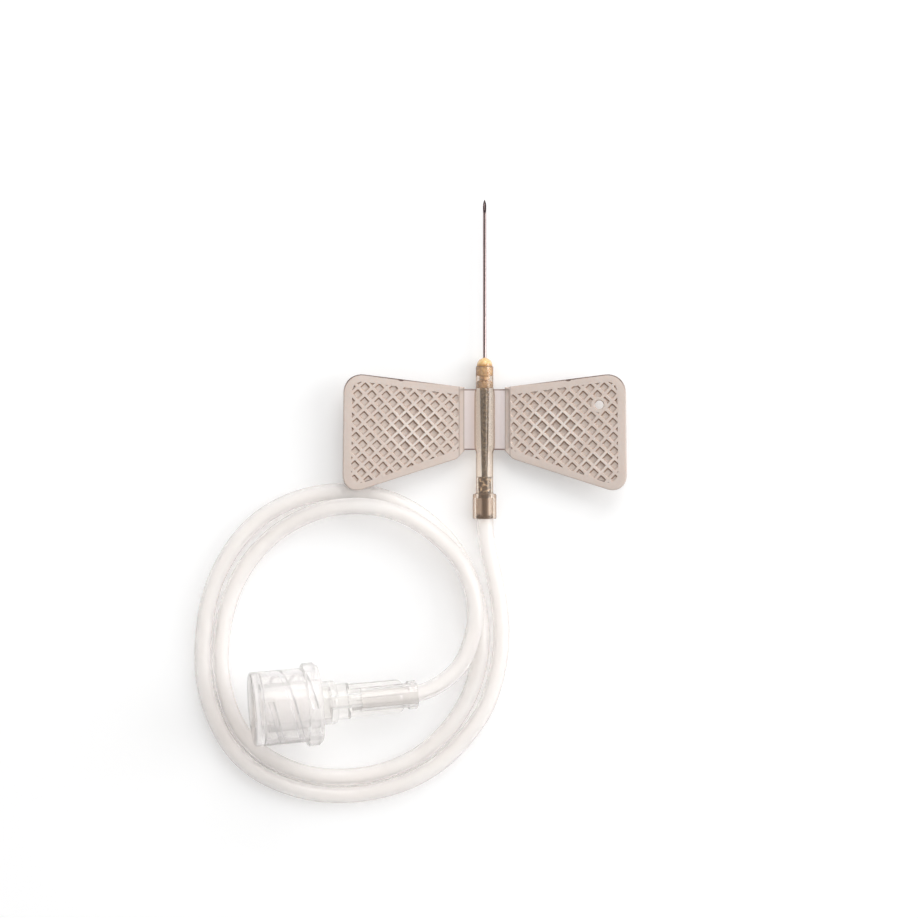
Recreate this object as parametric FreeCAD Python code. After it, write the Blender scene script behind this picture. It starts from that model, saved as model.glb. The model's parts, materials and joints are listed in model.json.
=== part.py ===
import FreeCAD
import Part
import math
import os

# Winged infusion set, in millimetres. The hub lies along Y with the needle towards +Y,
# the wings spread along X, and the set rests on the plane Z = 0. The origin is midway
# between the needle's tip and the back of the hub, below the hub's axis.

V = FreeCAD.Vector

# Needle, a 27 gauge tube with a three-facet lancet point; the stretch that the glue grips
# is etched a little thinner, and tapers out under the glue's dome
needle_diameter = 0.41
needle_shank_diameter = 0.4
needle_bore = 0.21
needle_exposed = 19.05
needle_in_hub = 13.25
bevel_angle = 13.0
lancet_angle = 20.0
lancet_turn = 38.0

# Glue that holds the needle: a dome outside, and in the hub's channel a cup, a waist, a
# bulb and a long tapering core
glue_dome_length = 1.0
glue_dome_diameter = 1.9
glue_shoulder_share = 0.86
glue_shoulder_height_share = 0.6
glue_collar_diameter = 0.62
glue_cup_diameter = 1.6
glue_cup_length = 1.1
glue_waist_diameter = 0.9
glue_waist_length = 0.6
glue_bulb_diameter = 1.4
glue_bulb_length = 0.9
glue_step = 0.12
glue_core_diameter = 0.84
glue_end_diameter = 0.5

# Hub barrel, from front to back
front_barrel_diameter = 2.1
front_barrel_length = 2.65
wing_root_diameter = 2.5
wing_root_length = 7.45
rear_barrel_diameter = 2.05
rear_barrel_length = 5.2
collar_diameter = 2.86
collar_length = 3.0
step_bevel = 0.2
collar_edge = 0.15
rear_cavity_diameter = 1.57
tube_in_hub = 2.5

# Hinge films, the thin strips that let the wings fold
film_thickness = 0.3
film_pivot_x = 1.85
film_half_width = 0.55
film_end_gap = 0.05

# Wings
wing_half_span = 17.1
wing_thickness = 0.85
wing_dihedral = 6.0
wing_front_lead = 0.15
wing_front_rise = 1.8
wing_back_drop = 5.4
wing_front_corner = 2.2
wing_back_corner = 1.8
wing_neck_corner = 0.8
wing_edge_taper = 0.15
wing_ramp_width = 0.55
wing_neck_x = 3.4
wing_neck_drop = 1.0
wing_neck_slope = 1.05
wing_edge_round = 0.12
film_margin = 0.08

# Grip pattern: rows of sunk diamonds, deeper in a round pad
diamond_pitch = 1.7
diamond_ridge = 0.3
diamond_depth = 0.2
diamond_floor_share = 0.7
diamond_row_x = 6.8
diamond_row_y = -4.6
diamond_row_turn = 2.5
diamond_border = 1.0
diamond_least_share = 0.12
pad_depth = 0.32
pad_radius = 2.85
pad_x = 8.55
pad_y = -8.4
spot_x = 13.95
spot_y = -12.45
spot_radius = 1.25

# Round hole through the right wing, with a smooth ring round it
hole_x = 13.8
hole_y = -5.5
hole_diameter = 1.05
hole_ring_diameter = 1.9

# Tube
tube_diameter = 2.0
tube_bore = 1.2
bond_gap = 0.04
tube_straight = 1.85

# Ribbed luer connector, measured from its tube mouth towards the cap
socket_depth = 6.7
socket_lead_in = 0.18
mouth_collar_diameter = 3.4
mouth_collar_length = 1.15
rib_core_diameter = 2.9
rib_span = 3.95
rib_thickness = 0.85
rib_count = 4
rib_gap = 0.5
rib_tail = 0.9
rib_length = 6.5
shoulder_diameter = 4.3
shoulder_length = 1.6
neck_diameter = 5.15
neck_length = 2.0
neck_round = 0.45
barrel_diameter = 5.85
barrel_length = 6.75
luer_mouth_diameter = 4.3
luer_taper = 0.06
luer_depth = 8.0
lumen_diameter = 1.2
lug_span = 7.7
lug_width = 3.4
lug_length = 1.1

# Screw cap that closes the connector
cap_diameter = 8.85
cap_length = 8.15
cap_bore = 7.95
cap_end_wall = 1.2
cap_end_gap = 0.2
cap_rim_diameter = 9.9
cap_rim_length = 1.8
cap_rim_bevel = 0.45
cap_end_bevel = 0.25
plug_length = 5.5
plug_gap = 0.03
plug_round = 0.5

# How the connector lies: mouth of its tube socket, heading in plan and upward tilt
mouth_x = -8.15
mouth_y = -40.15
connector_heading = 184.7
connector_tilt = 9.5

# Positions that follow from the sizes above
hub_length = front_barrel_length + wing_root_length + rear_barrel_length + collar_length
overall_length = hub_length + glue_dome_length + needle_exposed
hub_back = -overall_length / 2
hub_front = hub_back + hub_length
collar_front = hub_back + collar_length
root_back = collar_front + rear_barrel_length
root_front = root_back + wing_root_length
hub_axis_z = collar_diameter / 2
glue_tip = hub_front + glue_dome_length
needle_tip = glue_tip + needle_exposed
needle_back = hub_front - needle_in_hub
tube_front = hub_back + tube_in_hub
film_outer_x = film_pivot_x + film_half_width
wing_inner_x = film_outer_x + film_end_gap
tube_radius = tube_diameter / 2

shoulder_start = mouth_collar_length + rib_gap + rib_length
neck_start = shoulder_start + shoulder_length
barrel_start = neck_start + neck_length
barrel_end = barrel_start + barrel_length
cap_inner_end = barrel_end + cap_end_gap
cap_outer_end = cap_inner_end + cap_end_wall
cap_open_end = cap_outer_end - cap_length


def turned(outline):
    """Solid of revolution about Z from (radius, height) corners."""
    corners = [V(radius, 0, height) for radius, height in outline]
    face = Part.Face(Part.makePolygon(corners + corners[:1]))
    return face.revolve(V(0, 0, 0), V(0, 0, 1), 360)


def heading(plan_degrees, tilt_degrees):
    """Unit vector from a bearing in plan and an upward tilt."""
    plan = math.radians(plan_degrees)
    tilt = math.radians(tilt_degrees)
    return V(math.cos(plan) * math.cos(tilt), math.sin(plan) * math.cos(tilt), math.sin(tilt))


def laid(shape, start, direction):
    """Turn a shape built along +Z so that it runs from start along direction."""
    placed = shape.copy()
    turn = FreeCAD.Rotation(V(0, 0, 1), direction)
    placed.Placement = FreeCAD.Placement(start, turn)
    return placed


def along_hub(shape, y):
    """Lay a shape built along +Z on the hub's axis, starting at y."""
    return laid(shape, V(0, y, hub_axis_z), V(0, 1, 0))


def needle_rod():
    """The needle's outside before it is ground, along +Z from its back end."""
    length = needle_tip - needle_back
    return turned([
        (0, 0),
        (needle_shank_diameter / 2, 0),
        (needle_shank_diameter / 2, needle_in_hub),
        (needle_diameter / 2, needle_in_hub + glue_dome_length),
        (needle_diameter / 2, length),
        (0, length),
    ])


def make_needle():
    length = needle_tip - needle_back
    tube = needle_rod().cut(Part.makeCylinder(needle_bore / 2, length))
    point = V(0, needle_diameter / 2, length)
    block = Part.makeBox(length, length, 2 * length, V(-length / 2, -length, -length))
    for lean, turn in ((bevel_angle, 0), (lancet_angle, lancet_turn), (lancet_angle, -lancet_turn)):
        facet = block.copy()
        facet.rotate(V(0, 0, 0), V(1, 0, 0), -lean)
        facet.rotate(V(0, 0, 0), V(0, 0, 1), turn)
        facet.translate(point)
        tube = tube.cut(facet)
    return along_hub(tube, needle_back)


def glue_channel():
    """The stepped channel that the glue fills, along +Z from the needle's back end."""
    cup = needle_in_hub - glue_cup_length
    waist = cup - glue_waist_length
    bulb = waist - glue_bulb_length
    return turned([
        (0, 0),
        (glue_end_diameter / 2, 0),
        (glue_core_diameter / 2, bulb - glue_step),
        (glue_bulb_diameter / 2, bulb),
        (glue_bulb_diameter / 2, waist - glue_step),
        (glue_waist_diameter / 2, waist),
        (glue_waist_diameter / 2, cup - glue_step),
        (glue_cup_diameter / 2, cup),
        (glue_cup_diameter / 2, needle_in_hub),
        (0, needle_in_hub),
    ])


def make_glue():
    end = needle_in_hub
    foot = V(glue_dome_diameter / 2, 0, end)
    shoulder_radius = glue_dome_diameter / 2 * glue_shoulder_share
    shoulder = V(shoulder_radius, 0, end + glue_dome_length * glue_shoulder_height_share)
    crown = V(glue_collar_diameter / 2, 0, end + glue_dome_length)
    top = V(0, 0, end + glue_dome_length)
    base = V(0, 0, end)
    edges = [
        Part.LineSegment(base, foot).toShape(),
        Part.Arc(foot, shoulder, crown).toShape(),
        Part.LineSegment(crown, top).toShape(),
        Part.LineSegment(top, base).toShape(),
    ]
    dome = Part.Face(Part.Wire(edges)).revolve(V(0, 0, 0), V(0, 0, 1), 360)
    whole = glue_channel().fuse(dome)
    return along_hub(whole.cut(needle_rod()).removeSplitter(), needle_back)


def make_hub():
    collar = collar_diameter / 2
    rear = rear_barrel_diameter / 2
    root = wing_root_diameter / 2
    front = front_barrel_diameter / 2
    rear_end = collar_length + rear_barrel_length
    root_end = rear_end + wing_root_length
    body = turned([
        (0, 0),
        (collar - collar_edge, 0),
        (collar, collar_edge),
        (collar, collar_length - collar_edge),
        (collar - collar_edge, collar_length),
        (rear, collar_length + step_bevel),
        (rear, rear_end - step_bevel),
        (root, rear_end),
        (root, root_end),
        (front, root_end + step_bevel),
        (front, hub_length),
        (0, hub_length),
    ])
    body = along_hub(body, hub_back)
    strip = Part.makeBox(2 * film_outer_x, wing_root_length - 2 * film_margin, film_thickness)
    strip.translate(V(-film_outer_x, root_back + film_margin, hub_axis_z - film_thickness / 2))
    body = body.fuse(strip).removeSplitter()
    cavity = Part.makeCylinder(rear_cavity_diameter / 2, needle_back - tube_front)
    socket = Part.makeCylinder(tube_radius + bond_gap, tube_in_hub)
    body = body.cut(along_hub(glue_channel(), needle_back))
    body = body.cut(along_hub(cavity, tube_front))
    return body.cut(along_hub(socket, hub_back))


def rounded_outline(corners):
    """Closed wire through (x, y, radius) corners, with tangent arcs where radius > 0."""
    points = [V(x, y, 0) for x, y, _ in corners]
    count = len(corners)
    starts = []
    ends = []
    middles = []
    for i in range(count):
        here = points[i]
        back = (points[i - 1] - here).normalize()
        ahead = (points[(i + 1) % count] - here).normalize()
        radius = corners[i][2]
        half = back.getAngle(ahead) / 2
        reach = radius / math.tan(half)
        starts.append(here + back * reach)
        ends.append(here + ahead * reach)
        bisector = (back + ahead).normalize()
        middles.append(here + bisector * (radius / math.sin(half) - radius))
    edges = []
    for i in range(count):
        if corners[i][2] > 0:
            edges.append(Part.Arc(starts[i], middles[i], ends[i]).toShape())
        edges.append(Part.LineSegment(ends[i], starts[(i + 1) % count]).toShape())
    return Part.Wire(edges)


def wing_corners(inset):
    """Wing outline in plan as (x, y, radius), its outer edges moved inwards by inset."""
    inner = wing_inner_x
    front = root_front + wing_front_lead
    outer = wing_half_span
    front_slope = wing_front_rise / (outer - inner)
    back_slope = (wing_back_drop - wing_neck_drop) / (outer - wing_neck_x)
    front_inset = inset * math.hypot(1, front_slope)
    back_inset = inset * math.hypot(1, back_slope)
    neck = root_back - wing_neck_drop + back_inset
    return [
        (inner, front - front_inset, 0),
        (outer - inset - wing_edge_taper, front + wing_front_rise - front_inset,
         wing_front_corner - inset),
        (outer - inset, root_back - wing_back_drop + back_inset, wing_back_corner - inset / 2),
        (wing_neck_x, neck, wing_neck_corner),
        (inner, neck + (wing_neck_x - inner) * wing_neck_slope, 0),
    ]


def diamond(depth):
    """One sunk diamond with sloping walls, its mouth at Z = 0."""
    reach = diamond_pitch / 2 - diamond_ridge * math.sqrt(2) / 2
    wires = []
    for share, level in ((1.0, 0.0), (diamond_floor_share, -depth)):
        r = reach * share
        corners = [V(r, 0, level), V(0, r, level), V(-r, 0, level), V(0, -r, level)]
        wires.append(Part.makePolygon(corners + corners[:1]))
    shape = Part.makeLoft(wires, True)
    shape.rotate(V(0, 0, 0), V(0, 0, 1), diamond_row_turn)
    return shape


def diamond_places():
    """Centres of every diamond of the slightly turned grid that covers the wing."""
    half = diamond_pitch / 2
    turn = FreeCAD.Rotation(V(0, 0, 1), diamond_row_turn)
    start = V(diamond_row_x, diamond_row_y, 0)
    reach = int(wing_half_span / half) + 2
    places = []
    for column in range(-reach, reach):
        for row in range(-reach, reach):
            if (column + row) % 2 == 0:
                places.append(start + turn.multVec(V(column * half, row * half, 0)))
    return places


def wing_pits(side, top):
    """The sunk diamonds of one wing, cut off at the smooth border and round the hole."""
    field = Part.Face(rounded_outline(wing_corners(diamond_border)))
    box = field.BoundBox
    start = wing_inner_x + wing_ramp_width
    prism = field.extrude(V(0, 0, 2 * pad_depth))
    prism.translate(V(0, 0, -2 * pad_depth))
    prism = prism.cut(Part.makeBox(wing_ramp_width, 2 * wing_half_span, 4 * pad_depth,
                                   V(wing_inner_x, -wing_half_span - 10, -3 * pad_depth)))
    hole = V(hole_x, hole_y, 0)
    ring = Part.makeCylinder(hole_ring_diameter / 2, 4 * pad_depth, hole - V(0, 0, 3 * pad_depth))
    reach = diamond_pitch / 2
    pits = []
    for place in diamond_places():
        if not box.isInside(V(place.x, place.y, 0)) and not field.isInside(place, reach, True):
            if place.x < start - reach or place.x > box.XMax + reach:
                continue
            if place.y < box.YMin - reach or place.y > box.YMax + reach:
                continue
        on_pad = (place - V(pad_x, pad_y, 0)).Length < pad_radius
        on_spot = side > 0 and (place - V(spot_x, spot_y, 0)).Length < spot_radius
        pit = diamond(pad_depth if on_pad or on_spot else diamond_depth)
        least = pit.Volume * diamond_least_share
        pit.translate(place)
        corners = [v.Point for v in pit.Vertexes if abs(v.Z) < 0.001]
        inside = all(c.x > start and field.isInside(V(c.x, c.y, 0), 0.001, True) for c in corners)
        if not inside:
            pit = pit.common(prism)
        if side > 0 and (place - hole).Length < hole_ring_diameter / 2 + reach:
            pit = pit.cut(ring)
        for solid in pit.Solids:
            if solid.Volume > least:
                solid.translate(V(0, 0, top))
                pits.append(solid)
    return pits


def make_wing(side):
    """One wing, built flat and then raised about its film; side is 1 right, -1 left."""
    half = wing_thickness / 2
    outline = Part.Face(rounded_outline(wing_corners(0)))
    outline.translate(V(0, 0, -half))
    plate = outline.extrude(V(0, 0, wing_thickness))
    rim = [e for e in plate.Edges if e.BoundBox.ZLength < 0.001 and e.BoundBox.XMax > wing_neck_x + 1]
    plate = plate.makeChamfer(wing_edge_round, rim)
    lip = film_thickness / 2
    for up in (1, -1):
        ramp = Part.makePolygon([
            V(wing_inner_x - 1, root_back - 2, up * lip),
            V(wing_inner_x, root_back - 2, up * lip),
            V(wing_inner_x + wing_ramp_width, root_back - 2, up * half),
            V(wing_inner_x + wing_ramp_width, root_back - 2, up * (half + 1)),
            V(wing_inner_x - 1, root_back - 2, up * (half + 1)),
            V(wing_inner_x - 1, root_back - 2, up * lip),
        ])
        plate = plate.cut(Part.Face(ramp).extrude(V(0, wing_root_length + 4, 0)))
    pits = wing_pits(side, half)
    plate = plate.cut(Part.makeCompound(pits))
    if side > 0:
        start = V(hole_x, hole_y, -wing_thickness)
        plate = plate.cut(Part.makeCylinder(hole_diameter / 2, 2 * wing_thickness, start))
    plate.rotate(V(film_pivot_x, 0, 0), V(0, 1, 0), -wing_dihedral)
    plate.translate(V(0, 0, hub_axis_z))
    if side < 0:
        plate = plate.mirror(V(0, 0, 0), V(1, 0, 0))
    print(("right" if side > 0 else "left") + " wing diamonds:", len(pits))
    return plate


def make_connector():
    core = rib_core_diameter / 2
    barrel = barrel_diameter / 2
    neck = neck_diameter / 2
    shoulder = shoulder_diameter / 2
    mouth = mouth_collar_diameter / 2
    luer_end = luer_mouth_diameter / 2 - luer_taper / 2 * luer_depth
    edge = collar_edge
    body = turned([
        (0, 0),
        (mouth - edge, 0),
        (mouth, edge),
        (mouth, mouth_collar_length - edge),
        (mouth - edge, mouth_collar_length),
        (core, mouth_collar_length),
        (core, shoulder_start),
        (shoulder, shoulder_start),
        (shoulder, neck_start),
        (neck - neck_round, neck_start),
        (neck - neck_round * 0.3, neck_start + neck_round * 0.3),
        (neck, neck_start + neck_round),
        (neck, barrel_start),
        (barrel, barrel_start),
        (barrel, barrel_end),
        (0, barrel_end),
    ])
    rib_start = mouth_collar_length + rib_gap
    rib = Part.makePolygon([
        V(0, 0, rib_start),
        V(core, 0, rib_start),
        V(rib_span / 2, 0, rib_start + rib_tail),
        V(rib_span / 2, 0, shoulder_start),
        V(0, 0, shoulder_start),
        V(0, 0, rib_start),
    ])
    rib = Part.Face(rib).extrude(V(0, rib_thickness, 0))
    rib.translate(V(0, -rib_thickness / 2, 0))
    for i in range(rib_count):
        fin = rib.copy()
        fin.rotate(V(0, 0, 0), V(0, 0, 1), 360 / rib_count * i)
        body = body.fuse(fin)
    lugs = Part.makeCylinder(lug_span / 2, lug_length, V(0, 0, barrel_end - lug_length))
    slab = Part.makeBox(2 * lug_span, lug_width, lug_length)
    slab.translate(V(-lug_span, -lug_width / 2, barrel_end - lug_length))
    body = body.fuse(lugs.common(slab))
    socket = Part.makeCylinder(tube_radius + bond_gap, socket_depth)
    lead_in = Part.makeCone(tube_radius + bond_gap + socket_lead_in, tube_radius + bond_gap, 2 * socket_lead_in)
    luer_start = barrel_end - luer_depth
    lumen = Part.makeCylinder(lumen_diameter / 2, luer_start - socket_depth, V(0, 0, socket_depth))
    luer = Part.makeCone(luer_end, luer_mouth_diameter / 2, luer_depth, V(0, 0, luer_start))
    for hollow in (socket, lead_in, lumen, luer):
        body = body.cut(hollow)
    return body.removeSplitter()


def make_cap():
    outer = cap_diameter / 2
    rim = cap_rim_diameter / 2
    rim_end = cap_open_end + cap_rim_length
    shell = turned([
        (0, cap_open_end),
        (rim - cap_rim_bevel, cap_open_end),
        (rim, cap_open_end + cap_rim_bevel),
        (rim, rim_end),
        (outer, rim_end),
        (outer, cap_outer_end - cap_end_bevel),
        (outer - cap_end_bevel, cap_outer_end),
        (0, cap_outer_end),
    ])
    cavity = Part.makeCylinder(cap_bore / 2, cap_inner_end - cap_open_end, V(0, 0, cap_open_end))
    plug_tip = barrel_end - plug_length

    def seat(height):
        return luer_mouth_diameter / 2 - luer_taper / 2 * (barrel_end - height) - plug_gap

    plug = turned([
        (0, plug_tip),
        (seat(plug_tip) - plug_round, plug_tip),
        (seat(plug_tip + plug_round), plug_tip + plug_round),
        (seat(barrel_end), barrel_end),
        (seat(barrel_end), cap_inner_end),
        (0, cap_inner_end),
    ])
    return shell.cut(cavity).fuse(plug).removeSplitter()


def connector_mouth_z():
    """Height of the tube socket's mouth that puts the cap's rim on the surface."""
    tilt = math.radians(connector_tilt)
    touch = cap_open_end + cap_rim_bevel
    return cap_rim_diameter / 2 * math.cos(tilt) - touch * math.sin(tilt)


# Route of the tube. It leaves the hub's collar, takes two loose turns clockwise round
# loop_centre, each bearing one step on from the last, and curls in to the connector.
loop_centre = V(-16.8, -34.4, 0)
first_bearing = -28
bearing_step = 26
turn_reaches = (
    18.7, 18.6, 18.3, 18.6, 19.1, 18.1, 17.3, 17.9, 18.9, 19.05, 18.9, 18.2, 17.2, 16.7,
    16.4, 16.3, 16.1, 16.55, 16.9, 15.7, 15.05, 15.5, 16.25, 17.1, 17.75, 17.6,
)
climb_from = 22
climb_heights = (1.05, 2.35, 3.0, 3.08)
leaving_points = (
    (1.0, -25.3, 1.0),
    (1.87, -29.5, 1.0),
    (2.11, -33.9, 1.0),
    (1.4, -38.4, 1.0),
)
arriving_points = (
    (-1.48, -26.95, 3.08),
    (-0.95, -30.8, 3.08),
    (-1.65, -34.05, 3.07),
    (-2.85, -36.85, 3.02),
    (-5.25, -38.95, 2.97),
)
mouth_standoff = 0.4
socket_middle_drop = 0.02


def route():
    """Corner points of the tube's path, from inside the collar to inside the connector."""
    points = [V(0, tube_front, hub_axis_z), V(0, hub_back - tube_straight, hub_axis_z)]
    points += [V(*p) for p in leaving_points]
    for i, reach in enumerate(turn_reaches):
        bearing = math.radians(first_bearing - bearing_step * i)
        step = i - climb_from
        height = climb_heights[min(step, len(climb_heights) - 1)] if step >= 0 else tube_radius
        points.append(loop_centre + V(reach * math.cos(bearing), reach * math.sin(bearing), height))
    points += [V(*p) for p in arriving_points]
    mouth = V(mouth_x, mouth_y, connector_mouth_z())
    inwards = heading(connector_heading, connector_tilt)
    points.append(mouth - inwards * mouth_standoff)
    points.append(mouth + inwards * (socket_depth / 2) - V(0, 0, socket_middle_drop))
    points.append(mouth + inwards * socket_depth)
    return points


def make_tube():
    """Tube along straight runs joined by tangent arcs."""
    points = route()
    edges = []
    radii = []
    here = points[0]
    for i in range(1, len(points) - 1):
        back = points[i - 1] - points[i]
        ahead = points[i + 1] - points[i]
        reach = 0.45 * min(back.Length, ahead.Length)
        back.normalize()
        ahead.normalize()
        half = back.getAngle(ahead) / 2
        radius = reach * math.tan(half)
        radii.append(round(radius, 1))
        start = points[i] + back * reach
        end = points[i] + ahead * reach
        middle = points[i] + (back + ahead).normalize() * (radius / math.sin(half) - radius)
        edges.append(Part.LineSegment(here, start).toShape())
        edges.append(Part.Arc(start, middle, end).toShape())
        here = end
    edges.append(Part.LineSegment(here, points[-1]).toShape())
    path = Part.Wire(edges)
    first = (points[1] - points[0]).normalize()
    rings = []
    for r in (tube_radius, tube_bore / 2):
        rings.append(Part.Wire(Part.makeCircle(r, points[0], first)))
    outer, inner = [path.makePipeShell([ring], True, True) for ring in rings]
    tube = outer.cut(inner)
    section = math.pi * (tube_radius ** 2 - tube_bore ** 2 / 4)
    print("tube bend radii:", radii)
    print("tube length:", round(path.Length, 2), "volume share:", round(tube.Volume / section / path.Length, 5))
    return tube


def main():
    os.makedirs("parts", exist_ok=True)
    mouth = V(mouth_x, mouth_y, connector_mouth_z())
    direction = heading(connector_heading, connector_tilt)
    pieces = {
        "needle": make_needle(),
        "needle_glue": make_glue(),
        "hub": make_hub(),
        "right_wing": make_wing(1),
        "left_wing": make_wing(-1),
        "tube": make_tube(),
        "luer_connector": laid(make_connector(), mouth, direction),
        "luer_cap": laid(make_cap(), mouth, direction),
    }
    for name, shape in pieces.items():
        solids = shape.Solids
        box = shape.BoundBox
        sizes = [round(v, 2) for v in (box.XMin, box.YMin, box.ZMin, box.XMax, box.YMax, box.ZMax)]
        print(name, "solids", len(solids), "valid", shape.isValid(), "volume", round(shape.Volume, 3), sizes)
        Part.makeCompound(solids).exportStep("parts/" + name + ".step")


main()
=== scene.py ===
# %% [markdown]
# A winged infusion set, dressed in Blender
#
# The solids of this set come ready made: their places and sizes are the frame, and nothing
# here moves them. What this lesson adds is how each piece looks from close by: moulded
# diamonds on the wings, glue inside the hub, clear tubing, a ribbed luer and its screw cap.
# Everything is modelled in millimetres and made smaller by a thousand at the end of each
# step, because Blender's operators work best on shapes near one unit in size.

# %% Load the frame
import bmesh
import bpy
import json
import math
from mathutils import Matrix, Vector


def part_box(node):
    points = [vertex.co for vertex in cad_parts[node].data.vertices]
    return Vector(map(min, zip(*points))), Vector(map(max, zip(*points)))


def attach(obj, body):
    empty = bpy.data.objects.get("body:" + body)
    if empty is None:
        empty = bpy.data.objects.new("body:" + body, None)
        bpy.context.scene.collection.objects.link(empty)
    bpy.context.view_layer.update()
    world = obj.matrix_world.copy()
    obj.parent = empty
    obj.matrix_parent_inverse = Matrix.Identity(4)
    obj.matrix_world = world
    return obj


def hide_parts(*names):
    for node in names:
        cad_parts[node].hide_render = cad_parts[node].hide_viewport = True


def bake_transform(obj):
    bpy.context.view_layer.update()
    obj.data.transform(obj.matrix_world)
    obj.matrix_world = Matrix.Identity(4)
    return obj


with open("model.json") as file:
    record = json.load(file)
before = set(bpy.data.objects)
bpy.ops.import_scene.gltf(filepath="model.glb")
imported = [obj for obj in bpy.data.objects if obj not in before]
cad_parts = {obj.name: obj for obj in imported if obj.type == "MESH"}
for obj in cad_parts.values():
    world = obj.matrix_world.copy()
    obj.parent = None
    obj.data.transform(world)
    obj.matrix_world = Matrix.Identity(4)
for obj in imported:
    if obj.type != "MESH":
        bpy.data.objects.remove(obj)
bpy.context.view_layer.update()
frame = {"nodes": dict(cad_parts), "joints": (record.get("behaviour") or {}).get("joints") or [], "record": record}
MM = 0.001
mounts = {m["name"]: m for m in frame["record"]["mounts"]}
joints = {j["name"]: j for j in frame["joints"]}
hub_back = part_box("hub")[0][1] / MM
hub_axis_z = joints["right_wing_fold"]["pos_m"][2] / MM
print("frame nodes:", sorted(frame["nodes"]))

# %% [markdown]
# Helpers for modelling by hand in code
#
# An operator acts on whatever is selected, so each step first clears the selection and then
# picks faces or edges by their place. These few helpers do that picking, apply modifiers,
# and end a piece: scale it to metres, lay it in its place and hang it on its body.

# %% Helpers
def active():
    return bpy.context.view_layer.objects.active


def only(*objects):
    """Select these objects and nothing else; the first is active."""
    if bpy.context.object and bpy.context.object.mode != "OBJECT":
        bpy.ops.object.mode_set(mode="OBJECT")
    bpy.ops.object.select_all(action="DESELECT")
    for obj in objects:
        obj.select_set(True)
    bpy.context.view_layer.objects.active = objects[0]
    return objects[0]


def edit(obj, mode="FACE"):
    """Enter edit mode with nothing selected."""
    only(obj)
    bpy.ops.object.mode_set(mode="EDIT")
    bpy.ops.mesh.select_mode(type=mode)
    bpy.ops.mesh.select_all(action="DESELECT")


def pick(kind, test):
    """In edit mode, select the faces or edges whose middle passes the test."""
    mesh = bmesh.from_edit_mesh(active().data)
    for item in getattr(mesh, kind):
        if kind == "faces":
            middle = item.calc_center_median()
        else:
            middle = (item.verts[0].co + item.verts[1].co) / 2
        item.select_set(bool(test(item, middle)))
    mesh.select_flush_mode()
    bmesh.update_edit_mesh(active().data)


def leave():
    bpy.ops.object.mode_set(mode="OBJECT")
    return active()


def modify(obj, kind, **settings):
    """Add a modifier, set it and apply it."""
    only(obj)
    modifier = obj.modifiers.new(kind.title(), kind)
    for name, value in settings.items():
        setattr(modifier, name, value)
    bpy.ops.object.modifier_apply(modifier=modifier.name)
    return obj


def boolean(obj, other, operation):
    """Join, cut or intersect obj with other, which is used up."""
    modify(obj, "BOOLEAN", operation=operation, solver="EXACT", object=other)
    bpy.data.objects.remove(other)
    return obj


def copied(obj, move):
    """A copy with its own mesh, moved."""
    other = obj.copy()
    other.data = obj.data.copy()
    bpy.context.collection.objects.link(other)
    other.data.transform(Matrix.Translation(move))
    return other


def joined(objects):
    only(*objects)
    bpy.ops.object.join()
    return active()


def clean(obj, distance=0.0005):
    """Merge doubles and turn every face outwards."""
    edit(obj)
    bpy.ops.mesh.select_all(action="SELECT")
    bpy.ops.mesh.remove_doubles(threshold=distance)
    bpy.ops.mesh.normals_make_consistent(inside=False)
    return leave()


def smooth(obj, degrees=35):
    only(obj)
    bpy.ops.object.shade_smooth_by_angle(angle=math.radians(degrees))
    return obj


def place(obj, name, body, material, matrix=Matrix()):
    """End a piece: lay it in its place in metres and let it ride on its body."""
    obj.name = name
    obj.data.name = name
    obj.data.transform(Matrix.Scale(MM, 4) @ matrix)
    obj.data.materials.clear()
    obj.data.materials.append(material)
    if body:
        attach(obj, body)
    print(name, "faces:", len(obj.data.polygons))
    return obj


def turned(rings, sides=64):
    """A turned piece from (radius, height) rings, made ring by ring with extrude and resize."""
    radius, height = rings[0]
    bpy.ops.object.select_all(action="DESELECT")
    bpy.ops.mesh.primitive_circle_add(vertices=sides, radius=radius, fill_type="NGON",
                                      location=(0, 0, height), enter_editmode=True)
    for next_radius, next_height in rings[1:]:
        bpy.ops.mesh.extrude_region_move(TRANSFORM_OT_translate={"value": (0, 0, next_height - height)})
        if abs(next_radius - radius) > 1e-6:
            share = next_radius / radius
            bpy.ops.transform.resize(value=(share, share, 1), center_override=(0, 0, 0))
        radius, height = next_radius, next_height
    obj = leave()
    bpy.ops.object.transform_apply(location=True)
    edit(obj)
    bpy.ops.mesh.select_all(action="SELECT")
    bpy.ops.mesh.normals_make_consistent(inside=False)
    return leave()


# %% [markdown]
# Shader maths as plain expressions
#
# Procedural finishes need sums: a mask times a mask, one minus a slope. Wrapping a socket in
# a small class lets Python's own signs add the Math nodes, so a pattern reads like a formula.

# %% Shader helpers
class Value:
    """A node socket that can be added to, multiplied and so on."""

    def __init__(self, shader, socket):
        self.shader = shader
        self.socket = socket

    def maths(self, operation, *others, clamp=False):
        sockets = {i: getattr(v, "socket", v) for i, v in enumerate((self,) + others)}
        return self.shader.node("ShaderNodeMath", {"operation": operation, "use_clamp": clamp}, sockets)

    def __add__(self, other): return self.maths("ADD", other)

    def __radd__(self, other): return self.maths("ADD", other)

    def __sub__(self, other): return self.maths("SUBTRACT", other)

    def __rsub__(self, other): return (self * -1).maths("ADD", other)

    def __mul__(self, other): return self.maths("MULTIPLY", other)

    def __rmul__(self, other): return self.maths("MULTIPLY", other)

    def clamp(self): return self.maths("ADD", 0.0, clamp=True)


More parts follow.
